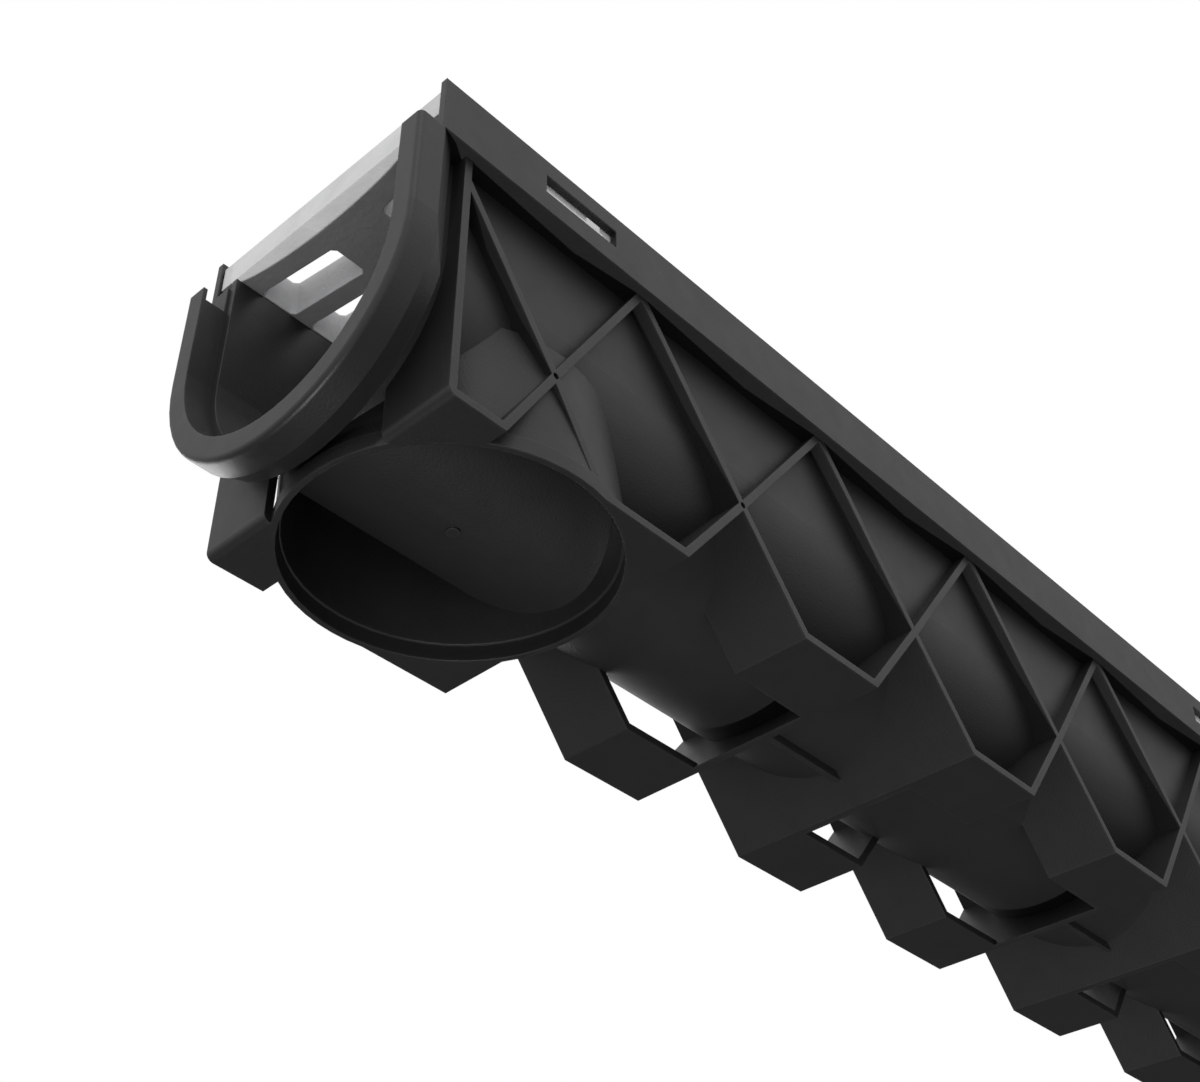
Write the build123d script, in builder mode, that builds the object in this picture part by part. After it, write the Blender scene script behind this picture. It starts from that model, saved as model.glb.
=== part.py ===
from build123d import *
from math import hypot, sqrt
import os

os.makedirs("parts", exist_ok=True)

# Moulded drainage channel with a slotted metal grating, seen in use with the grating on top.
# X runs along the channel from the collar end, Y across it, Z up from the feet.

# channel body
rail_length = 1000.0
rail_width = 119.0
channel_height = 127.0
collar_reach = 9.2
trough_radius = 47.5
trough_wall = 2.5
trough_axis_height = 62.0
ledge_drop = 14.0

# top rails
rail_drop = 24.0
lip_thickness = 2.6
shelf_thickness = 3.5
groove_end_height = 3.0
groove_end_thickness = 3.0

# side lattice
lattice_width = 112.0
lattice_inner_width = 50.0
rib_thickness = 3.0
cell_pitch = 100.0
first_cell = 96.4
cell_count = 9
foot_length = 40.2
node_height = 39.6
node_overlap = 1.8
end_plate_setback = 13.3
end_plate_inner_width = 54.0
end_foot_length = 22.9
end_node_offset = 42.5
end_node_height = 36.0
end_brace_drop = 5.0
end_foot_radius = 3.0
cross_web_first = 2
cross_web_step = 2
keel_height = 3.5
keel_thickness = 2.4
pin_hole_diameter = 2.4
pin_hole_depth = 3.0
pin_hole_count = 2

# collar on the near end
collar_step = 1.0
collar_fit = 0.5
collar_rear = 8.0
collar_rear_width = 108.8
collar_rear_radius = 57.0
collar_rounding = 2.0
pocket_depth = 30.0
pocket_skin = 2.0
pocket_front_skin = 1.6
inner_skin_drop = 5.0

# outlet socket, closed by the trough bottom until that is cut out
outlet_centre = 66.6
outlet_diameter = 110.0
outlet_wall = 2.2
outlet_depth = 6.0
outlet_neck_radius = 56.2
outlet_top_radius = 53.5
outlet_top = 50.0
outlet_lean = 5.0
outlet_mark_diameter = 5.0
outlet_mark_depth = 0.8

# locking windows in the rails
window_length = 34.0
window_below_ledge = 1.4
window_height = 8.2
window_end_distance = 63.0

# grating
grating_thickness = 12.0
grating_side_gap = 0.5
grating_end_gap = 1.0
grating_edge_chamfer = 1.0
slot_width = 14.5
slot_draft = 2.8
slot_slant = 3.6
slot_pitch = 21.8
slot_count = 45
slot_inner_width = 24.4
slot_outer_width = 94.4
slot_corner = 1.5
lug_length = 28.0
lug_thickness = 2.0
lug_recess = 1.0
lug_gap = 0.3
lug_setback = 3.0
catch_length = 6.4
catch_height = 2.6
catch_end_distance = 1.6

# levels and faces that follow from the sizes above
near_end = (collar_reach - rail_length) / 2
rail_half = rail_width / 2
lip_inside = rail_half - lip_thickness
rail_bottom = channel_height - rail_drop
collar_height = rail_bottom
ledge_height = channel_height - ledge_drop
window_bottom = ledge_height - window_below_ledge
end_brace_height = rail_bottom - end_brace_drop
shelf_top = rail_bottom + shelf_thickness
outer_radius = trough_radius + trough_wall
lattice_half = lattice_width / 2
lattice_inner = lattice_inner_width / 2
end_plate_inner = end_plate_inner_width / 2
outlet_outer_radius = outlet_diameter / 2 + outlet_wall
trough_bottom = trough_axis_height - outer_radius
window_centres = [window_end_distance, rail_length / 2, rail_length - window_end_distance]
cell_centres = [first_cell + cell_pitch * i for i in range(cell_count)]
grating_width = rail_width - 2 * lip_thickness - 2 * grating_side_gap
grating_length = rail_length - 2 * grating_end_gap
slot_length = (slot_outer_width - slot_inner_width) / 2
slot_row_middle = (slot_outer_width + slot_inner_width) / 4

# section: looking along the channel, local x is Y, local y is Z
# side: looking across the channel, local x is X from the near rail end, local y is Z
section = Plane(origin=(near_end, 0, 0), x_dir=(0, 1, 0), z_dir=(1, 0, 0))
side = Plane(origin=(near_end, 0, 0), x_dir=(1, 0, 0), z_dir=(0, -1, 0))
floor = Plane(origin=(near_end, 0, 0))
upright = (Align.CENTER, Align.CENTER, Align.MIN)


def round_trough(radius, top, start, end):
    """Solid with a half round bottom about the trough axis and upright sides up to top."""
    with BuildPart() as solid:
        with BuildSketch(section.offset(start)):
            with Locations((0, trough_axis_height)):
                Circle(radius)
                Rectangle(2 * radius, top - trough_axis_height, align=(Align.CENTER, Align.MIN))
        extrude(amount=end - start)
    return solid.part


def block(x_range, y_range, z_range):
    """Upright box between two values of each axis, with x from the near rail end."""
    with BuildPart(floor) as solid:
        with Locations((x_range[0], y_range[0], z_range[0])):
            Box(
                x_range[1] - x_range[0],
                y_range[1] - y_range[0],
                z_range[1] - z_range[0],
                align=(Align.MIN, Align.MIN, Align.MIN),
            )
    return solid.part


def both_sides(solid):
    """The solid and its mirror image on the other side of the channel."""
    return [solid, mirror(solid, about=Plane.XZ, mode=Mode.PRIVATE)]


def rib_frame(corners, inner, corner_radius=0.0):
    """Closed frame of ribs inside the polygon, from inner outwards, its first corner rounded."""
    with BuildPart() as solid:
        with BuildSketch(side.offset(-lattice_half)):
            Polygon(*corners, align=None)
            if corner_radius:
                fillet(vertices().sort_by_distance(corners[0])[0], corner_radius)
            offset(amount=-rib_thickness, kind=Kind.INTERSECTION, mode=Mode.SUBTRACT)
        extrude(amount=lattice_half - inner)
    return solid.part


def cross_web(foot_x, node_x):
    """Sloping web right across below the trough, in line with the rib from foot to node."""
    slant = rib_thickness * hypot(node_x - foot_x, node_height) / node_height
    thickness = slant if foot_x > node_x else -slant
    with BuildPart() as solid:
        with BuildSketch(side.offset(-lattice_half)):
            Polygon(
                (foot_x, 0),
                (node_x, node_height),
                (node_x + thickness, node_height),
                (foot_x + thickness, 0),
                align=None,
            )
        extrude(amount=lattice_width)
    return solid.part


def collar_profile(distance, half_width, radius):
    """Sketch of the collar outline: upright sides, then an arc about the trough axis."""
    side_end = trough_axis_height - sqrt(radius**2 - half_width**2)
    with BuildSketch(section.offset(distance)) as profile:
        with BuildLine():
            Polyline(
                (-half_width, side_end),
                (-half_width, collar_height),
                (half_width, collar_height),
                (half_width, side_end),
            )
            ThreePointArc(
                (half_width, side_end),
                (0, trough_axis_height - radius),
                (-half_width, side_end),
            )
        make_face()
    return profile.sketch


def drafted_slot():
    """Cutter for a slot that narrows upwards and whose outer end lies nearer to the collar."""
    with BuildPart() as solid:
        for level, inset in ((0, 0), (grating_thickness, slot_draft)):
            half_width = slot_width / 2 - inset
            half_length = slot_length / 2 - inset
            lean = slot_slant * half_length / slot_length
            with BuildSketch(Plane.XY.offset(level)):
                Polygon(
                    (-half_width + lean, -half_length),
                    (half_width + lean, -half_length),
                    (half_width - lean, half_length),
                    (-half_width - lean, half_length),
                    align=None,
                )
                chamfer(vertices(), slot_corner)
        loft(ruled=True)
    return solid.part


# nodes where two ribs cross: an odd one beside each end plate and regular ones between
near_plate = end_plate_setback
far_plate = rail_length - end_plate_setback
nodes = [(near_plate + end_node_offset, end_node_height)]
nodes += [(x + cell_pitch / 2, node_height) for x in cell_centres[:-1]]
nodes += [(far_plate - end_node_offset, end_node_height)]
foot_half = foot_length / 2

with BuildPart() as channel:
    # pentagon cells, each from its own foot up to the rail shelf
    ribs = []
    for i, centre in enumerate(cell_centres):
        left = nodes[i]
        right = nodes[i + 1]
        pentagon = [
            (centre, shelf_top),
            (left[0] - node_overlap, left[1]),
            (centre - foot_half, 0),
            (centre + foot_half, 0),
            (right[0] + node_overlap, right[1]),
        ]
        ribs += both_sides(rib_frame(pentagon, lattice_inner))

    # half cells with an upright plate at each end
    for plate, direction in ((near_plate, 1), (far_plate, -1)):
        corners = [
            (plate, 0),
            (plate + direction * end_foot_length, 0),
            (plate + direction * (end_node_offset + node_overlap), end_node_height),
            (plate, end_brace_height),
        ]
        ribs += both_sides(rib_frame(corners, end_plate_inner, end_foot_radius))
        upper_plate = block(
            sorted((plate, plate + direction * rib_thickness)),
            (end_plate_inner, lattice_half),
            (end_brace_height / 2, shelf_top),
        )
        ribs += both_sides(upper_plate)

    # webs right across below the trough on both sides of every second valley, and a keel between
    for i in range(cross_web_first, cell_count, cross_web_step):
        valley_x = nodes[i][0]
        foot_end = cell_centres[i - 1] + foot_half
        next_foot = cell_centres[i] - foot_half
        ribs.append(cross_web(foot_end, valley_x + node_overlap))
        ribs.append(cross_web(next_foot, valley_x - node_overlap))
        keel_bottom = trough_bottom - keel_height
        keel_reach = (valley_x - foot_end) * (1 - keel_bottom / node_height)
        keel = block(
            (valley_x - keel_reach, valley_x + keel_reach),
            (-keel_thickness / 2, keel_thickness / 2),
            (keel_bottom, trough_bottom + trough_wall),
        )
        ribs.append(keel)
    add(ribs)

    # outlet socket with a neck that narrows upwards, leans to the collar and closes against the trough
    with Locations(Location((near_end + outlet_centre, 0, 0))):
        Cylinder(outlet_outer_radius, outlet_depth, align=upright)
    for inset, mode in ((0, Mode.ADD), (outlet_wall, Mode.SUBTRACT)):
        with BuildSketch(floor.offset(outlet_depth)):
            with Locations((outlet_centre, 0)):
                Circle(outlet_neck_radius - inset)
        with BuildSketch(floor.offset(outlet_top - inset)):
            with Locations((outlet_centre - outlet_lean, 0)):
                Circle(outlet_top_radius - inset)
        loft(mode=mode)
    with Locations(Location((near_end + outlet_centre, 0, 0))):
        Cylinder(outlet_diameter / 2, outlet_depth, align=upright, mode=Mode.SUBTRACT)

    # trough, rails and their shelves
    rails = [round_trough(outer_radius, ledge_height, collar_step, rail_length)]
    lip = block((0, rail_length), (lip_inside, rail_half), (rail_bottom, channel_height))
    rails += both_sides(lip)
    shelf = block((0, rail_length), (trough_radius, rail_half), (rail_bottom, shelf_top))
    rails += both_sides(shelf)
    for end in (0, rail_length - groove_end_thickness):
        stop = block(
            (end, end + groove_end_thickness),
            (trough_radius, rail_half),
            (rail_bottom, shelf_top + groove_end_height),
        )
        rails += both_sides(stop)
    add(rails)

    # collar that takes the plain end of the next channel, narrower behind the seat
    seat_radius = outer_radius + collar_fit
    with BuildPart(mode=Mode.PRIVATE) as collar:
        add(round_trough(rail_half, collar_height, -collar_reach, collar_step))
        front_arc = edges().group_by(Axis.X)[0].filter_by(GeomType.CIRCLE)[0]
        front_sides = edges().group_by(Axis.X)[0].filter_by(Axis.Z)
        fillet([front_arc, *front_sides], collar_rounding)
        loft(
            [
                collar_profile(collar_step, rail_half, rail_half),
                collar_profile(collar_rear, collar_rear_width / 2, collar_rear_radius),
            ],
            ruled=True,
        )
    add(collar.part)

    # hollow of the trough and the wider seat in the collar
    add(round_trough(trough_radius, channel_height, -collar_reach, rail_length), mode=Mode.SUBTRACT)
    add(round_trough(seat_radius, channel_height, -collar_reach, collar_step), mode=Mode.SUBTRACT)

    # pocket in each top end of the collar, with a lower inner skin
    pocket_x = (pocket_front_skin - collar_reach, 0)
    pocket = block(
        pocket_x,
        (seat_radius + pocket_skin, rail_half - pocket_skin),
        (collar_height - pocket_depth, collar_height),
    )
    add(both_sides(pocket), mode=Mode.SUBTRACT)
    skin_cut = block(
        pocket_x,
        (trough_radius, rail_half - pocket_skin),
        (collar_height - inner_skin_drop, collar_height),
    )
    add(both_sides(skin_cut), mode=Mode.SUBTRACT)

    # raised mark at the middle of the outlet, under the trough
    with Locations(Location((near_end + outlet_centre, 0, trough_bottom))):
        Cylinder(outlet_mark_diameter / 2, 2 * outlet_mark_depth)

    # pin holes in the first rib crossings
    with BuildPart(mode=Mode.PRIVATE) as pin_holes:
        with BuildSketch(side.offset(lattice_half)):
            with Locations(*nodes[:pin_hole_count]):
                Circle(pin_hole_diameter / 2)
        extrude(amount=-pin_hole_depth)
    add(both_sides(pin_holes.part), mode=Mode.SUBTRACT)

    # windows for the grating lugs
    windows = []
    for centre in window_centres:
        window = block(
            (centre - window_length / 2, centre + window_length / 2),
            (lip_inside, rail_half),
            (window_bottom, window_bottom + window_height),
        )
        windows += both_sides(window)
    add(windows, mode=Mode.SUBTRACT)

with BuildPart() as grating:
    with BuildSketch(floor.offset(ledge_height)):
        with Locations((rail_length / 2, 0)):
            Rectangle(grating_length, grating_width)
    extrude(amount=grating_thickness)
    chamfer(faces().sort_by(Axis.Z)[-1].edges(), grating_edge_chamfer)

    # lugs with a raised catch that reach into the rail windows
    lugs = []
    lug_y = (grating_width / 2 - lug_setback, rail_half - lug_recess)
    lug_bottom = window_bottom + lug_gap
    lug_top = lug_bottom + lug_thickness
    for centre in window_centres:
        lug_start = centre - window_length / 2 + lug_gap
        lug_end = lug_start + lug_length
        catch_end = lug_end - catch_end_distance
        lugs += both_sides(block((lug_start, lug_end), lug_y, (lug_bottom, lug_top)))
        catch_x = (catch_end - catch_length, catch_end)
        lugs += both_sides(block(catch_x, lug_y, (lug_bottom, lug_top + catch_height)))
    add(lugs)

    # two rows of slots beside the middle bar, slanted in opposite ways
    for row, slot in zip((1, -1), both_sides(drafted_slot())):
        row_middle = (near_end + rail_length / 2, row * slot_row_middle, ledge_height)
        with Locations(Location(row_middle)):
            with GridLocations(slot_pitch, slot_length, slot_count, 1):
                add(slot, mode=Mode.SUBTRACT)

channel.part.label = "channel_body"
grating.part.label = "slotted_grating"
export_step(channel.part, "parts/channel_body.step")
export_step(grating.part, "parts/slotted_grating.step")
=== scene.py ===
import bpy
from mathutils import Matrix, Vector


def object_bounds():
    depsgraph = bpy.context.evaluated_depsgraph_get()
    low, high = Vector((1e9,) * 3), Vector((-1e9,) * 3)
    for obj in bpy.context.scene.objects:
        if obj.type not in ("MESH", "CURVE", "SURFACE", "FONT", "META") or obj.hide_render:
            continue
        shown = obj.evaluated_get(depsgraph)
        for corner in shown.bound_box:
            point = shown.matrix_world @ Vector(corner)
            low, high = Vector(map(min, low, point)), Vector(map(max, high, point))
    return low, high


bl_info = {
    "name": "Channel drain",
    "version": (1, 0, 0),
    "blender": (4, 5, 0),
    "location": "View3D > Sidebar > Channel drain",
    "description": "Finishes the moulded channel and its metal grating, and sets up the studio",
    "category": "Object",
}

SENSOR_WIDTH = 36.0
# Metres from the feet down to the floor, so that the two never share a face
FLOOR_GAP = 0.0005

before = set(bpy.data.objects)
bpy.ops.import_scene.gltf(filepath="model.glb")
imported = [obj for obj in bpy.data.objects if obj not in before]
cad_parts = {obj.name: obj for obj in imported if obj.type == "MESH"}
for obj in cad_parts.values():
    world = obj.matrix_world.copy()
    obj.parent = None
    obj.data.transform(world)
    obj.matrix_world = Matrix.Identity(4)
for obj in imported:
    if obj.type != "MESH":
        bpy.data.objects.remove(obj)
cad_low, cad_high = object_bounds()


# Sizes and colours that a user would change


class ChannelSettings(bpy.types.PropertyGroup):
    """The black polypropylene of the moulded channel"""

    colour: bpy.props.FloatVectorProperty(
        name="Plastic colour",
        description="Colour of the black polypropylene",
        subtype="COLOR",
        size=3,
        min=0.0,
        max=1.0,
        default=(0.016, 0.016, 0.0165),
    )
    roughness: bpy.props.FloatProperty(
        name="Roughness",
        description="Roughness of the plastic as it leaves the mould",
        subtype="FACTOR",
        min=0.0,
        max=1.0,
        default=0.46,
    )
    roughness_change: bpy.props.FloatProperty(
        name="Roughness change",
        description="How much the plastic's roughness changes from place to place",
        subtype="FACTOR",
        min=0.0,
        max=1.0,
        default=0.12,
    )
    refraction: bpy.props.FloatProperty(
        name="Refraction",
        description="Index of refraction of polypropylene, which sets how strongly it reflects",
        min=1.0,
        default=1.49,
    )
    tone_change: bpy.props.FloatProperty(
        name="Tone change",
        description="How much the plastic's tone changes from place to place",
        subtype="FACTOR",
        min=0.0,
        max=1.0,
        default=0.16,
    )
    patch_size: bpy.props.FloatProperty(
        name="Patch size",
        description="Length of the patches in which the plastic flowed differently",
        unit="LENGTH",
        min=0.001,
        default=0.035,
    )
    grain_size: bpy.props.FloatProperty(
        name="Grain size",
        description="Width of the fine grain that the mould leaves",
        unit="LENGTH",
        min=0.0001,
        default=0.0009,
    )
    grain_depth: bpy.props.FloatProperty(
        name="Grain depth",
        description="Depth of the grain that the mould leaves",
        unit="LENGTH",
        min=0.0,
        default=0.00007,
    )
    wave_size: bpy.props.FloatProperty(
        name="Wave size",
        description="Width of the shallow sink marks over ribs and webs",
        unit="LENGTH",
        min=0.001,
        default=0.025,
    )
    wave_depth: bpy.props.FloatProperty(
        name="Wave depth",
        description="Depth of the shallow sink marks",
        unit="LENGTH",
        min=0.0,
        default=0.0001,
    )
    edge_width: bpy.props.FloatProperty(
        name="Edge width",
        description="Radius of the rounding that the mould leaves on sharp edges",
        unit="LENGTH",
        min=0.0,
        default=0.0006,
    )
    edge_wear: bpy.props.FloatProperty(
        name="Edge wear",
        description="How pale the plastic's edges are from stacking and handling",
        subtype="FACTOR",
        min=0.0,
        max=1.0,
        default=0.2,
    )
    worn_colour: bpy.props.FloatVectorProperty(
        name="Worn colour",
        description="Colour of the plastic where it is scuffed",
        subtype="COLOR",
        size=3,
        min=0.0,
        max=1.0,
        default=(0.06, 0.06, 0.062),
    )
    dust: bpy.props.FloatProperty(
        name="Dust",
        description="How much pale dust lies on what faces up",
        subtype="FACTOR",
        min=0.0,
        max=1.0,
        default=0.03,
    )


class GratingSettings(bpy.types.PropertyGroup):
    """The zinc coated metal of the grating"""

    colour: bpy.props.FloatVectorProperty(
        name="Zinc colour",
        description="Colour of the matt zinc coating",
        subtype="COLOR",
        size=3,
        min=0.0,
        max=1.0,
        default=(0.78, 0.785, 0.79),
    )
    roughness: bpy.props.FloatProperty(
        name="Roughness",
        description="Roughness of the zinc coating",
        subtype="FACTOR",
        min=0.0,
        max=1.0,
        default=0.52,
    )
    roughness_change: bpy.props.FloatProperty(
        name="Roughness change",
        description="How much the coating's roughness changes from place to place",
        subtype="FACTOR",
        min=0.0,
        max=1.0,
        default=0.16,
    )
    metal: bpy.props.FloatProperty(
        name="Metal",
        description="How much of the coating's look is bare metal",
        subtype="FACTOR",
        min=0.0,
        max=1.0,
        default=0.06,
    )
    tone_change: bpy.props.FloatProperty(
        name="Tone change",
        description="How much the coating's tone changes from place to place",
        subtype="FACTOR",
        min=0.0,
        max=1.0,
        default=0.14,
    )
    patch_size: bpy.props.FloatProperty(
        name="Patch size",
        description="Length of the cloudy patches in the coating",
        unit="LENGTH",
        min=0.001,
        default=0.014,
    )
    grain_size: bpy.props.FloatProperty(
        name="Grain size",
        description="Width of the fine pits of the cast surface under the coating",
        unit="LENGTH",
        min=0.0001,
        default=0.0022,
    )
    grain_depth: bpy.props.FloatProperty(
        name="Grain depth",
        description="Depth of the fine pits of the cast surface",
        unit="LENGTH",
        min=0.0,
        default=0.0002,
    )
    wave_size: bpy.props.FloatProperty(
        name="Wave size",
        description="Width of the slow unevenness of the casting",
        unit="LENGTH",
        min=0.001,
        default=0.015,
    )
    wave_depth: bpy.props.FloatProperty(
        name="Wave depth",
        description="Depth of the slow unevenness of the casting",
        unit="LENGTH",
        min=0.0,
        default=0.0001,
    )
    edge_width: bpy.props.FloatProperty(
        name="Edge width",
        description="Radius of the rounding that the coating leaves on sharp edges",
        unit="LENGTH",
        min=0.0,
        default=0.0007,
    )
    edge_wear: bpy.props.FloatProperty(
        name="Edge wear",
        description="How bright the coating is rubbed along its edges",
        subtype="FACTOR",
        min=0.0,
        max=1.0,
        default=0.35,
    )
    worn_colour: bpy.props.FloatVectorProperty(
        name="Worn colour",
        description="Colour of the coating where it is rubbed",
        subtype="COLOR",
        size=3,
        min=0.0,
        max=1.0,
        default=(0.9, 0.9, 0.91),
    )
    dust: bpy.props.FloatProperty(
        name="Dust",
        description="How much pale dust lies on what faces up",
        subtype="FACTOR",
        min=0.0,
        max=1.0,
        default=0.05,
    )


class StageSettings(bpy.types.PropertyGroup):
    """The camera, the lights and the floor"""

    camera_place: bpy.props.FloatVectorProperty(
        name="Camera place",
        description="Where the camera stands, below and in front of the collar",
        subtype="TRANSLATION",
        unit="LENGTH",
        size=3,
        default=(-0.7161, -0.3331, -0.3443),
    )
    camera_aim: bpy.props.FloatVectorProperty(
        name="Camera aim",
        description="The direction in which the camera looks",
        subtype="DIRECTION",
        size=3,
        default=(0.5687, 0.532, 0.6273),
    )
    lens: bpy.props.FloatProperty(
        name="Lens",
        description="Focal length of the camera in millimetres, on a sensor 36 mm wide",
        unit="CAMERA",
        min=1.0,
        default=52.96,
    )
    floor_colour: bpy.props.FloatVectorProperty(
        name="Floor colour",
        description="Colour of the pale studio floor",
        subtype="COLOR",
        size=3,
        min=0.0,
        max=1.0,
        default=(0.8, 0.8, 0.79),
    )
    floor_roughness: bpy.props.FloatProperty(
        name="Floor roughness",
        description="Roughness of the studio floor",
        subtype="FACTOR",
        min=0.0,
        max=1.0,
        default=0.9,
    )
    floor_reach: bpy.props.FloatProperty(
        name="Floor reach",
        description="How far the floor reaches from the middle of the drain",
        unit="LENGTH",
        min=1.0,
        default=12.0,
    )
    bright_side: bpy.props.FloatVectorProperty(
        name="Bright side",
        description="The direction from which the surroundings are brightest",
        subtype="DIRECTION",
        size=3,
        default=(-0.5, -0.35, 0.8),
    )
    bright_light: bpy.props.FloatProperty(
        name="Bright light",
        description="Strength of the surroundings on their bright side",
        min=0.0,
        default=0.85,
    )
    dim_light: bpy.props.FloatProperty(
        name="Dim light",
        description="Strength of the surroundings on the side away from the bright side",
        min=0.0,
        default=0.06,
    )
    key_light: bpy.props.FloatProperty(
        name="Key light",
        description="Strength of the lamp under the drain",
        min=0.0,
        default=1.55,
    )
    key_way: bpy.props.FloatVectorProperty(
        name="Key light's way",
        description="The direction in which the key light shines",
        subtype="DIRECTION",
        size=3,
        default=(0.158, 0.05, 1.0),
    )
    top_light: bpy.props.FloatProperty(
        name="Top light",
        description="Strength of the soft lamp over the drain",
        min=0.0,
        default=0.25,
    )
    top_way: bpy.props.FloatVectorProperty(
        name="Top light's way",
        description="The direction in which the top light shines",
        subtype="DIRECTION",
        size=3,
        default=(0.35, 0.5, -1.0),
    )
    side_light: bpy.props.FloatProperty(
        name="Side light",
        description="Strength of the soft lamp beside the drain, on the side that the camera doesn't see",
        min=0.0,
        default=1.1,
    )
    side_way: bpy.props.FloatVectorProperty(
        name="Side light's way",
        description="The direction in which the side light shines",
        subtype="DIRECTION",
        size=3,
        default=(-0.3, -1.0, -0.2),
    )
    key_softness: bpy.props.FloatProperty(
        name="Key light's softness",
        description="How wide the key light's source looks, so how soft its shadows are",
        subtype="ANGLE",
        min=0.0,
        default=0.01,
    )
    fill_softness: bpy.props.FloatProperty(
        name="Soft lights' softness",
        description="How wide the sources of the top and side lights look",
        subtype="ANGLE",
        min=0.0,
        default=0.6,
    )


# Shader node groups that both finishes share


def new_group(name, inputs, outputs):
    """An empty shader node group, with the sockets that it takes and those that it gives"""
    group = bpy.data.node_groups.new(name, "ShaderNodeTree")
    for label, kind, value in inputs:
        socket = group.interface.new_socket(label, in_out="INPUT", socket_type=kind)
        if value is not None:
            socket.default_value = value
    for label, kind in outputs:
        group.interface.new_socket(label, in_out="OUTPUT", socket_type=kind)
    taken = group.nodes.new("NodeGroupInput").outputs
    given = group.nodes.new("NodeGroupOutput").inputs
    return group, taken, given


def add_node(tree, kind, settings=(), values=(), links=()):
    """A node with its settings, its sockets' values and what is linked into it"""
    node = tree.nodes.new(kind)
    for name, setting in dict(settings).items():
        setattr(node, name, setting)
    for socket, value in dict(values).items():
        node.inputs[socket].default_value = value
    for socket, source in dict(links).items():
        tree.links.new(source, node.inputs[socket])
    return node


def maths(tree, operation, first, second):
    """A Math node; each of its two terms is a number or an output"""
    node = add_node(tree, "ShaderNodeMath", {"operation": operation})
    for place, term in enumerate((first, second)):
        if isinstance(term, bpy.types.NodeSocket):
            tree.links.new(term, node.inputs[place])
        else:
            node.inputs[place].default_value = term
    return node.outputs["Value"]


def noise(tree, position, size, detail):
    """Soft noise whose patches are about as wide as size, from 0 to 1"""
    finer_strength = 0.55
    scale = maths(tree, "DIVIDE", 1.0, size)
    node = add_node(
        tree,
        "ShaderNodeTexNoise",
        values={"Detail": detail, "Roughness": finer_strength},
        links={"Vector": position, "Scale": scale},
    )
    return node.outputs["Fac"]


def surface_grain():
    """Fine uneven grain and a slower wave under it, as a height in metres"""
    group, taken, given = new_group(
        "Surface grain",
        [
            ("Position", "NodeSocketVector", None),
            ("Grain size", "NodeSocketFloat", 0.001),
            ("Grain depth", "NodeSocketFloat", 0.00005),
            ("Wave size", "NodeSocketFloat", 0.02),
            ("Wave depth", "NodeSocketFloat", 0.0001),
        ],
        [("Height", "NodeSocketFloat")],
    )
    fine = noise(group, taken["Position"], taken["Grain size"], detail=2.0)
    slow = noise(group, taken["Position"], taken["Wave size"], detail=1.0)
    fine_height = maths(group, "MULTIPLY", fine, taken["Grain depth"])
    slow_height = maths(group, "MULTIPLY", slow, taken["Wave depth"])
    height = maths(group, "ADD", fine_height, slow_height)
    group.links.new(height, given["Height"])
    return group


def tone_patches():
    """Patches in which the colour is a little lighter or darker and the surface smoother or rougher"""
    noise_middle, full_swing = 0.5, 2.0
    rub_share = 0.3
    group, taken, given = new_group(
        "Tone patches",
        [
            ("Position", "NodeSocketVector", None),
            ("Colour", "NodeSocketColor", (0.5, 0.5, 0.5, 1.0)),
            ("Roughness", "NodeSocketFloat", 0.5),
            ("Patch size", "NodeSocketFloat", 0.03),
            ("Tone change", "NodeSocketFloat", 0.1),
            ("Roughness change", "NodeSocketFloat", 0.1),
        ],
        [("Colour", "NodeSocketColor"), ("Roughness", "NodeSocketFloat")],
    )
    broad = noise(group, taken["Position"], taken["Patch size"], detail=3.0)
    centred = maths(group, "SUBTRACT", broad, noise_middle)
    lift = maths(group, "MULTIPLY", centred, taken["Tone change"])
    tone = maths(group, "ADD", maths(group, "MULTIPLY", lift, full_swing), 1.0)
    toned = add_node(
        group,
        "ShaderNodeVectorMath",
        {"operation": "SCALE"},
        links={0: taken["Colour"], "Scale": tone},
    )
    rub_size = maths(group, "MULTIPLY", taken["Patch size"], rub_share)
    rubbed = noise(group, taken["Position"], rub_size, detail=4.0)
    rub = maths(group, "SUBTRACT", rubbed, noise_middle)
    change = maths(group, "MULTIPLY", rub, taken["Roughness change"])
    group.links.new(toned.outputs["Vector"], given["Colour"])
    group.links.new(maths(group, "ADD", taken["Roughness"], change), given["Roughness"])
    return group


def resting_dust():
    """A trace of pale dust on what faces up, and none on what faces down"""
    cloud_size = 0.012
    group, taken, given = new_group(
        "Resting dust",
        [
            ("Position", "NodeSocketVector", None),
            ("Normal", "NodeSocketVector", None),
            ("Colour", "NodeSocketColor", (0.5, 0.5, 0.5, 1.0)),
            ("Dust colour", "NodeSocketColor", (0.3, 0.29, 0.27, 1.0)),
            ("Amount", "NodeSocketFloat", 0.1),
        ],
        [("Colour", "NodeSocketColor")],
    )
    way = add_node(group, "ShaderNodeSeparateXYZ", links={"Vector": taken["Normal"]})
    facing = maths(group, "MAXIMUM", way.outputs["Z"], 0.0)
    cloud = noise(group, taken["Position"], cloud_size, detail=5.0)
    mask = maths(group, "MULTIPLY", maths(group, "MULTIPLY", facing, cloud), taken["Amount"])
    mixed = add_node(
        group,
        "ShaderNodeMix",
        {"data_type": "RGBA"},
        links={"Factor": mask, "A": taken["Colour"], "B": taken["Dust colour"]},
    )
    group.links.new(mixed.outputs["Result"], given["Colour"])
    return group


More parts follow.
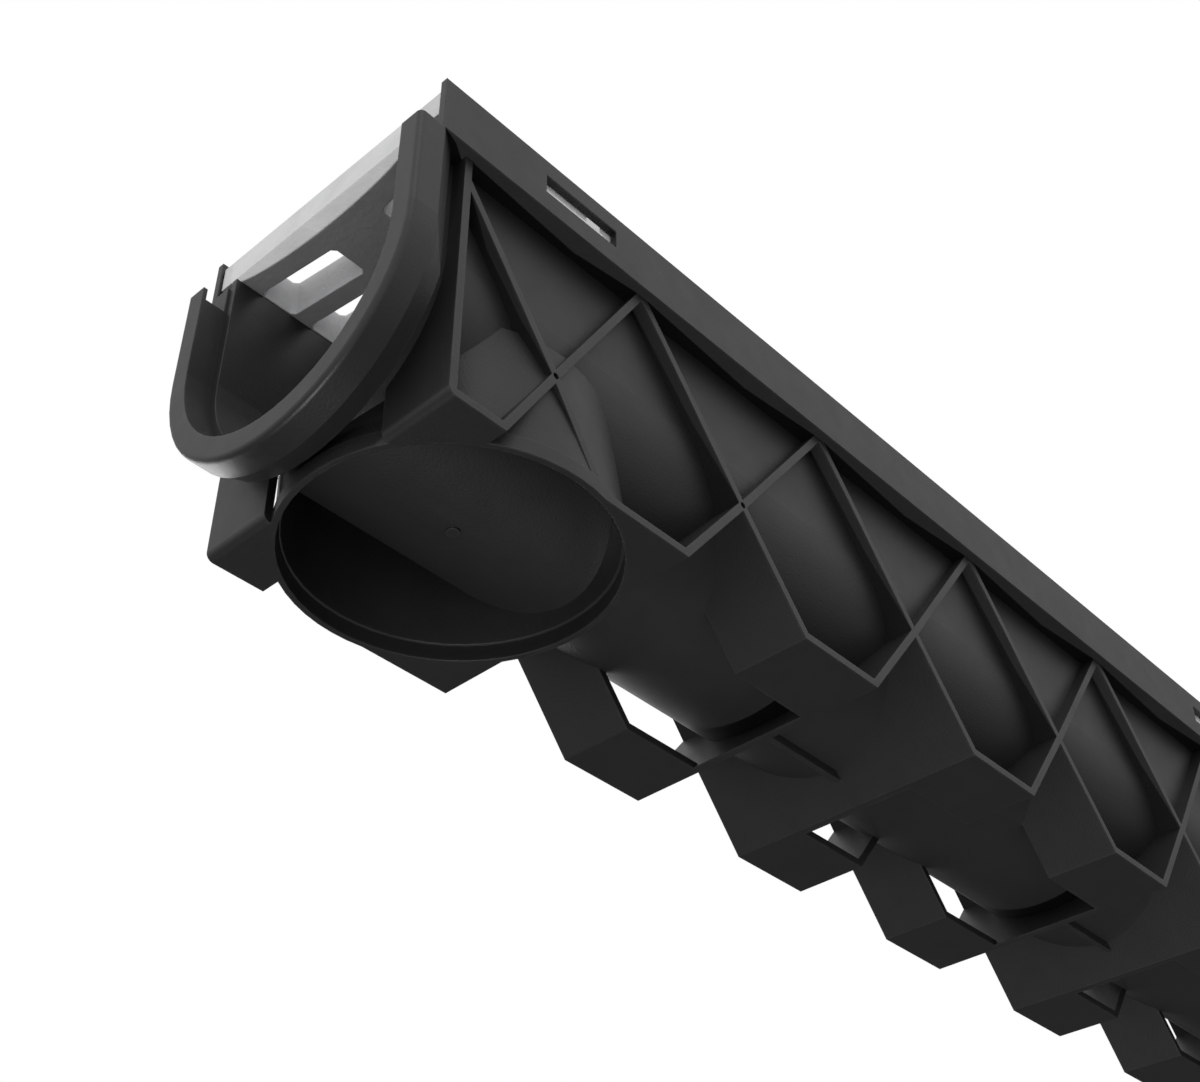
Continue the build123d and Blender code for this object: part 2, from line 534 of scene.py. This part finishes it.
def worn_edges():
    """Paler colour in broken patches along the edges"""
    rub_size = 0.009
    rub_start, rub_full = 0.35, 0.65
    group, taken, given = new_group(
        "Worn edges",
        [
            ("Position", "NodeSocketVector", None),
            ("Edge", "NodeSocketFloat", 0.0),
            ("Colour", "NodeSocketColor", (0.5, 0.5, 0.5, 1.0)),
            ("Worn colour", "NodeSocketColor", (0.6, 0.6, 0.6, 1.0)),
            ("Amount", "NodeSocketFloat", 0.3),
        ],
        [("Colour", "NodeSocketColor")],
    )
    rubs = noise(group, taken["Position"], rub_size, detail=4.0)
    broken = add_node(
        group,
        "ShaderNodeMapRange",
        values={"From Min": rub_start, "From Max": rub_full},
        links={"Value": rubs},
    )
    patches = maths(group, "MULTIPLY", taken["Edge"], broken.outputs["Result"])
    mixed = add_node(
        group,
        "ShaderNodeMix",
        {"data_type": "RGBA"},
        links={
            "Factor": maths(group, "MULTIPLY", patches, taken["Amount"]),
            "A": taken["Colour"],
            "B": taken["Worn colour"],
        },
    )
    group.links.new(mixed.outputs["Result"], given["Colour"])
    return group


def shared(name, make):
    """The shader node group of that name, made on its first use"""
    return bpy.data.node_groups.get(name) or make()


def new_material(name):
    """A new material, its node tree and its Principled BSDF"""
    material = bpy.data.materials.new(name)
    material.use_nodes = True
    return material, material.node_tree, material.node_tree.nodes["Principled BSDF"]


def outer_edges(tree, normal, width):
    """Where the outer edges are, from 0 to 1, and the normal rounded there, but not in inner corners"""
    # Inside the piece, the next face is near at an outer edge and far at an inner corner. The reach
    # stays shorter than the thinnest wall, or the wall's other side would count as an edge.
    samples = 4
    reach = 2 * width
    free_inside, at_an_edge = 1.0, 0.7
    rounded = add_node(
        tree, "ShaderNodeBevel", {"samples": samples}, {"Radius": width}
    ).outputs["Normal"]
    inside = add_node(
        tree,
        "ShaderNodeAmbientOcclusion",
        {"samples": samples, "inside": True, "only_local": True},
        {"Distance": reach},
    )
    edge = add_node(
        tree,
        "ShaderNodeMapRange",
        values={"From Min": free_inside, "From Max": at_an_edge},
        links={"Value": inside.outputs["AO"]},
    ).outputs["Result"]
    mixed = add_node(
        tree,
        "ShaderNodeMix",
        {"data_type": "VECTOR"},
        links={"Factor": edge, "A": normal, "B": rounded},
    )
    turned = add_node(
        tree,
        "ShaderNodeVectorMath",
        {"operation": "NORMALIZE"},
        links={0: mixed.outputs["Result"]},
    )
    return edge, turned.outputs["Vector"]


def group_node(tree, name, make, values, links):
    """A node of a shared group with its inputs"""
    return add_node(tree, "ShaderNodeGroup", {"node_tree": shared(name, make)}, values, links)


def finish_from(tree, bsdf, settings):
    """Tone, wear, dust and grain from the shared groups, with one finish's own values"""
    place = add_node(tree, "ShaderNodeTexCoord").outputs["Object"]
    normal = add_node(tree, "ShaderNodeNewGeometry").outputs["Normal"]
    edge, rounded = outer_edges(tree, normal, settings.edge_width)
    tone = group_node(
        tree,
        "Tone patches",
        tone_patches,
        {
            "Colour": (*settings.colour, 1.0),
            "Roughness": settings.roughness,
            "Patch size": settings.patch_size,
            "Tone change": settings.tone_change,
            "Roughness change": settings.roughness_change,
        },
        {"Position": place},
    )
    worn = group_node(
        tree,
        "Worn edges",
        worn_edges,
        {"Worn colour": (*settings.worn_colour, 1.0), "Amount": settings.edge_wear},
        {"Position": place, "Edge": edge, "Colour": tone.outputs["Colour"]},
    )
    dusty = group_node(
        tree,
        "Resting dust",
        resting_dust,
        {"Amount": settings.dust},
        {"Position": place, "Normal": normal, "Colour": worn.outputs["Colour"]},
    )
    grain = group_node(
        tree,
        "Surface grain",
        surface_grain,
        {
            "Grain size": settings.grain_size,
            "Grain depth": settings.grain_depth,
            "Wave size": settings.wave_size,
            "Wave depth": settings.wave_depth,
        },
        {"Position": place},
    )
    bump = add_node(
        tree,
        "ShaderNodeBump",
        values={"Strength": 1.0, "Distance": 1.0},
        links={"Height": grain.outputs["Height"], "Normal": rounded},
    )
    tree.links.new(dusty.outputs["Colour"], bsdf.inputs["Base Color"])
    tree.links.new(tone.outputs["Roughness"], bsdf.inputs["Roughness"])
    tree.links.new(bump.outputs["Normal"], bsdf.inputs["Normal"])


def dress(node, material):
    """Gives a carried-over CAD node its finish"""
    node.data.materials.clear()
    node.data.materials.append(material)


# One operator for each piece and one for the stage


class CHANNELDRAIN_OT_channel(bpy.types.Operator):
    """Gives the moulded channel its black polypropylene"""

    bl_idname = "channeldrain.channel"
    bl_label = "Finish the channel"

    def execute(self, context):
        settings = context.scene.channel_drain_channel
        material, tree, bsdf = new_material("black polypropylene")
        bsdf.inputs["IOR"].default_value = settings.refraction
        finish_from(tree, bsdf, settings)
        dress(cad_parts["channel_body"], material)
        return {"FINISHED"}


class CHANNELDRAIN_OT_grating(bpy.types.Operator):
    """Gives the slotted grating its matt zinc coating"""

    bl_idname = "channeldrain.grating"
    bl_label = "Finish the grating"

    def execute(self, context):
        settings = context.scene.channel_drain_grating
        material, tree, bsdf = new_material("matt zinc coating")
        bsdf.inputs["Metallic"].default_value = settings.metal
        finish_from(tree, bsdf, settings)
        dress(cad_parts["slotted_grating"], material)
        return {"FINISHED"}


def add_lamp(scene, name, way, strength, softness):
    """A lamp as far away as the sun that shines in one direction"""
    lamp = bpy.data.lights.new(name, "SUN")
    lamp.energy = strength
    lamp.angle = softness
    holder = bpy.data.objects.new(name, lamp)
    holder.rotation_mode = "QUATERNION"
    holder.rotation_quaternion = Vector(way).to_track_quat("-Z", "Y")
    scene.collection.objects.link(holder)


def white_surroundings(scene, settings):
    """White for the camera, and for the light bright on one side and dim on the other"""
    white = (1.0, 1.0, 1.0, 1.0)
    fade = 0.5
    world = bpy.data.worlds.new("studio surroundings")
    world.use_nodes = True
    scene.world = world
    tree = world.node_tree
    tree.nodes.clear()
    way = add_node(tree, "ShaderNodeTexCoord").outputs["Generated"]
    bright_side = Vector(settings.bright_side).normalized()
    turned = add_node(
        tree,
        "ShaderNodeVectorMath",
        {"operation": "DOT_PRODUCT"},
        {1: bright_side},
        {0: way},
    )
    strength = add_node(
        tree,
        "ShaderNodeMapRange",
        {"interpolation_type": "SMOOTHSTEP"},
        {
            "From Min": -fade,
            "From Max": fade,
            "To Min": settings.dim_light,
            "To Max": settings.bright_light,
        },
        {"Value": turned.outputs["Value"]},
    )
    light = add_node(
        tree,
        "ShaderNodeBackground",
        values={"Color": white},
        links={"Strength": strength.outputs["Result"]},
    )
    seen = add_node(tree, "ShaderNodeBackground", values={"Color": white})
    camera_ray = add_node(tree, "ShaderNodeLightPath").outputs["Is Camera Ray"]
    both = add_node(
        tree,
        "ShaderNodeMixShader",
        links={0: camera_ray, 1: light.outputs["Background"], 2: seen.outputs["Background"]},
    )
    add_node(tree, "ShaderNodeOutputWorld", links={"Surface": both.outputs["Shader"]})


def pale_floor(scene, settings):
    """A plain floor under the feet. From below it is see-through, because the camera stands below it"""
    reach = settings.floor_reach
    level = cad_low.z - FLOOR_GAP
    corners = [(-reach, -reach, level), (reach, -reach, level), (reach, reach, level), (-reach, reach, level)]
    sheet = bpy.data.meshes.new("floor")
    sheet.from_pydata(corners, [], [(0, 1, 2, 3)])
    floor = bpy.data.objects.new("floor", sheet)
    scene.collection.objects.link(floor)
    material, tree, bsdf = new_material("pale floor")
    bsdf.inputs["Base Color"].default_value = (*settings.floor_colour, 1.0)
    bsdf.inputs["Roughness"].default_value = settings.floor_roughness
    behind = add_node(tree, "ShaderNodeNewGeometry").outputs["Backfacing"]
    clear = add_node(tree, "ShaderNodeBsdfTransparent").outputs["BSDF"]
    both = add_node(
        tree, "ShaderNodeMixShader", links={0: behind, 1: bsdf.outputs["BSDF"], 2: clear}
    )
    tree.links.new(both.outputs["Shader"], tree.nodes["Material Output"].inputs["Surface"])
    sheet.materials.append(material)
    floor.visible_shadow = False
    floor.visible_diffuse = False
    floor.visible_glossy = False


class CHANNELDRAIN_OT_stage(bpy.types.Operator):
    """Sets up the camera, the white surroundings, the lamps and the pale floor"""

    bl_idname = "channeldrain.stage"
    bl_label = "Set up the studio"

    def execute(self, context):
        scene = context.scene
        settings = scene.channel_drain_stage
        lens = bpy.data.cameras.new("photograph's view")
        lens.lens = settings.lens
        lens.sensor_width = SENSOR_WIDTH
        camera = bpy.data.objects.new("photograph's view", lens)
        camera.location = settings.camera_place
        camera.rotation_mode = "QUATERNION"
        camera.rotation_quaternion = Vector(settings.camera_aim).to_track_quat("-Z", "Y")
        scene.collection.objects.link(camera)
        scene.camera = camera

        white_surroundings(scene, settings)
        add_lamp(scene, "key lamp", settings.key_way, settings.key_light, settings.key_softness)
        add_lamp(scene, "top lamp", settings.top_way, settings.top_light, settings.fill_softness)
        add_lamp(scene, "side lamp", settings.side_way, settings.side_light, settings.fill_softness)
        pale_floor(scene, settings)
        scene.view_settings.view_transform = "Standard"
        return {"FINISHED"}


class CHANNELDRAIN_PT_sidebar(bpy.types.Panel):
    """Lists the drain's finishes and its studio"""

    bl_idname = "CHANNELDRAIN_PT_sidebar"
    bl_label = "Channel drain"
    bl_space_type = "VIEW_3D"
    bl_region_type = "UI"
    bl_category = "Channel drain"

    def draw(self, context):
        scene = context.scene
        for settings, operator in (
            (scene.channel_drain_channel, CHANNELDRAIN_OT_channel),
            (scene.channel_drain_grating, CHANNELDRAIN_OT_grating),
            (scene.channel_drain_stage, CHANNELDRAIN_OT_stage),
        ):
            box = self.layout.box()
            for name in settings.__annotations__:
                box.prop(settings, name)
            box.operator(operator.bl_idname)


CLASSES = (
    ChannelSettings,
    GratingSettings,
    StageSettings,
    CHANNELDRAIN_OT_channel,
    CHANNELDRAIN_OT_grating,
    CHANNELDRAIN_OT_stage,
    CHANNELDRAIN_PT_sidebar,
)


def register():
    """Registers the classes and hangs the settings on the scene"""
    for each in CLASSES:
        bpy.utils.register_class(each)
    bpy.types.Scene.channel_drain_channel = bpy.props.PointerProperty(type=ChannelSettings)
    bpy.types.Scene.channel_drain_grating = bpy.props.PointerProperty(type=GratingSettings)
    bpy.types.Scene.channel_drain_stage = bpy.props.PointerProperty(type=StageSettings)


def unregister():
    """Takes the settings off the scene and unregisters the classes"""
    del bpy.types.Scene.channel_drain_stage
    del bpy.types.Scene.channel_drain_grating
    del bpy.types.Scene.channel_drain_channel
    for each in reversed(CLASSES):
        bpy.utils.unregister_class(each)


def main():
    register()
    for operator in (bpy.ops.channeldrain.channel, bpy.ops.channeldrain.grating, bpy.ops.channeldrain.stage):
        operator()


if __name__ == "__main__":
    main()
